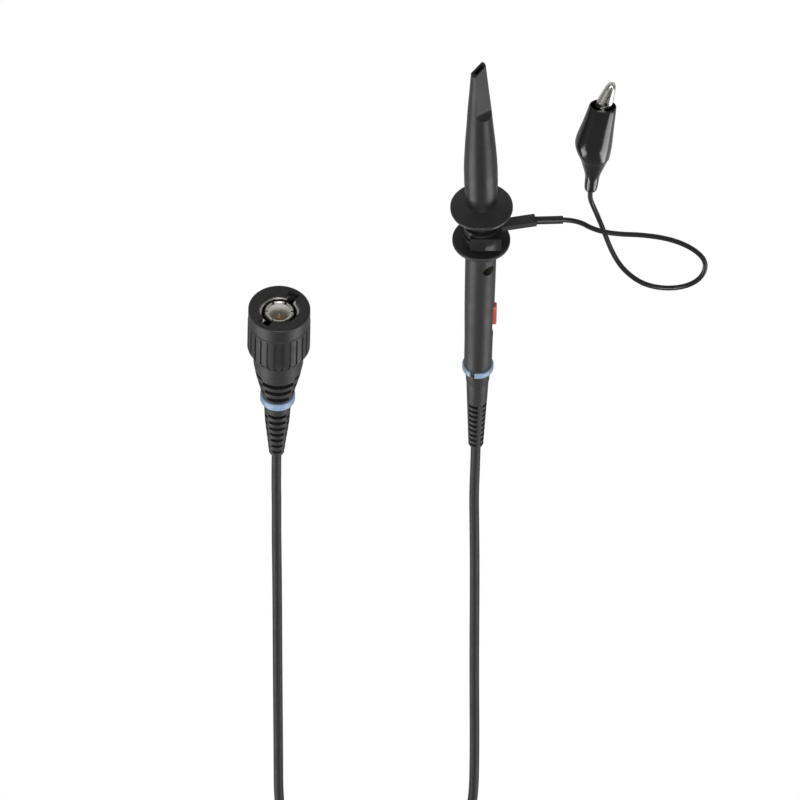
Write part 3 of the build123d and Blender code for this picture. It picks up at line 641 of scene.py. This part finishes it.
ring_cover = round_block(cover_start, cover_end, cover_r)
ring_cover.name = "ring_cover"
combine(ring_cover, plain_block((cover_start, -5.5, 0), (5.2, 3.2, 5.2)), "UNION")
combine(ring_cover, round_block(cover_start, collar_end, collar_r), "UNION")
lead_arm = plain_block((-0.85, -15.4, -1.6), (0.85, -3.6, 1.6))
lean_arm(lead_arm)
combine(ring_cover, lead_arm, "UNION")
combine(ring_cover, round_block(0, 7, ring_bore), "DIFFERENCE")
lug_slot = plain_block((-0.29, -12.1, -0.94), (0.29, -2.8, 0.94))
lean_arm(lug_slot)
combine(ring_cover, lug_slot, "DIFFERENCE")
apply_modifier(ring_cover, "BEVEL", width=cover_edge_round, segments=2, limit_method="ANGLE")
bpy.ops.object.mode_set(mode="EDIT")
finish_shape(ring_cover, 35)
set_in_place(ring_cover, probe_origin, Vector((0, -1, 0)), Vector((1, 0, 0)))
ring_cover.data.materials.append(cover_plastic)
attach(ring_cover, "ground_ring")
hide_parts("ground_ring_cover")

# ---------------------------------------------------------------- hook spring
# On the real probe the return spring shortens towards the hook's carrier as the sleeve is pulled
# back. Here the spring only gets a mesh of its own.
hook_spring = nodes["hook_spring"]
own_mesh(hook_spring)

# ---------------------------------------------------------------- table and light
table_size = 12
table_gap = 0.00002
table_grey = 0.5
room_strength = 0.13
lit_middle = Vector((0.02, 0.06, 0))


def seen_white(tree, dim_shader, target):
    """What the camera sees directly is plain white; what lights the object is dim_shader."""
    path = tree.nodes.new("ShaderNodeLightPath")
    white = tree.nodes.new("ShaderNodeEmission")
    white.inputs["Color"].default_value = (1, 1, 1, 1)
    mix = tree.nodes.new("ShaderNodeMixShader")
    tree.links.new(path.outputs["Is Camera Ray"], mix.inputs["Fac"])
    tree.links.new(dim_shader, mix.inputs[1])
    tree.links.new(white.outputs["Emission"], mix.inputs[2])
    tree.links.new(mix.outputs["Shader"], target)


bpy.ops.mesh.primitive_plane_add(size=table_size, location=(0, 0, -table_gap))
table_top = bpy.context.object
table_top.name = "table_top"
table_white = bpy.data.materials.new("table_white")
table_white.use_nodes = True
table_tree = table_white.node_tree
table_tree.nodes.remove(table_tree.nodes["Principled BSDF"])
table_dull = table_tree.nodes.new("ShaderNodeBsdfDiffuse")
table_dull.inputs["Color"].default_value = (table_grey, table_grey, table_grey, 1)
seen_white(
    table_tree,
    table_dull.outputs["BSDF"],
    table_tree.nodes["Material Output"].inputs["Surface"],
)
table_top.data.materials.append(table_white)

world = bpy.data.worlds.new("white_room")
bpy.context.scene.world = world
world.use_nodes = True
room = world.node_tree.nodes["Background"]
room.inputs["Color"].default_value = (1, 1, 1, 1)
room.inputs["Strength"].default_value = room_strength
seen_white(
    world.node_tree,
    room.outputs["Background"],
    world.node_tree.nodes["World Output"].inputs["Surface"],
)


def soft_box(name, place, size, power):
    """A rectangular studio light at a place in metres, facing the object."""
    light_data = bpy.data.lights.new(name, "AREA")
    light_data.shape = "RECTANGLE"
    light_data.size = size[0]
    light_data.size_y = size[1]
    light_data.energy = power
    light = bpy.data.objects.new(name, light_data)
    bpy.context.scene.collection.objects.link(light)
    light.location = place
    light.rotation_mode = "QUATERNION"
    light.rotation_quaternion = (Vector(place) - lit_middle).to_track_quat("Z", "Y")


soft_box("overhead_box", (0.0, -0.30, 1.20), (0.8, 0.6), 12)
soft_box("left_box", (0.70, 0.88, 0.38), (0.45, 0.75), 3.4)
soft_box("right_box", (-0.70, 0.88, 0.36), (0.40, 0.70), 2.8)
bpy.context.scene.view_settings.view_transform = "Standard"

bpy.context.view_layer.update()
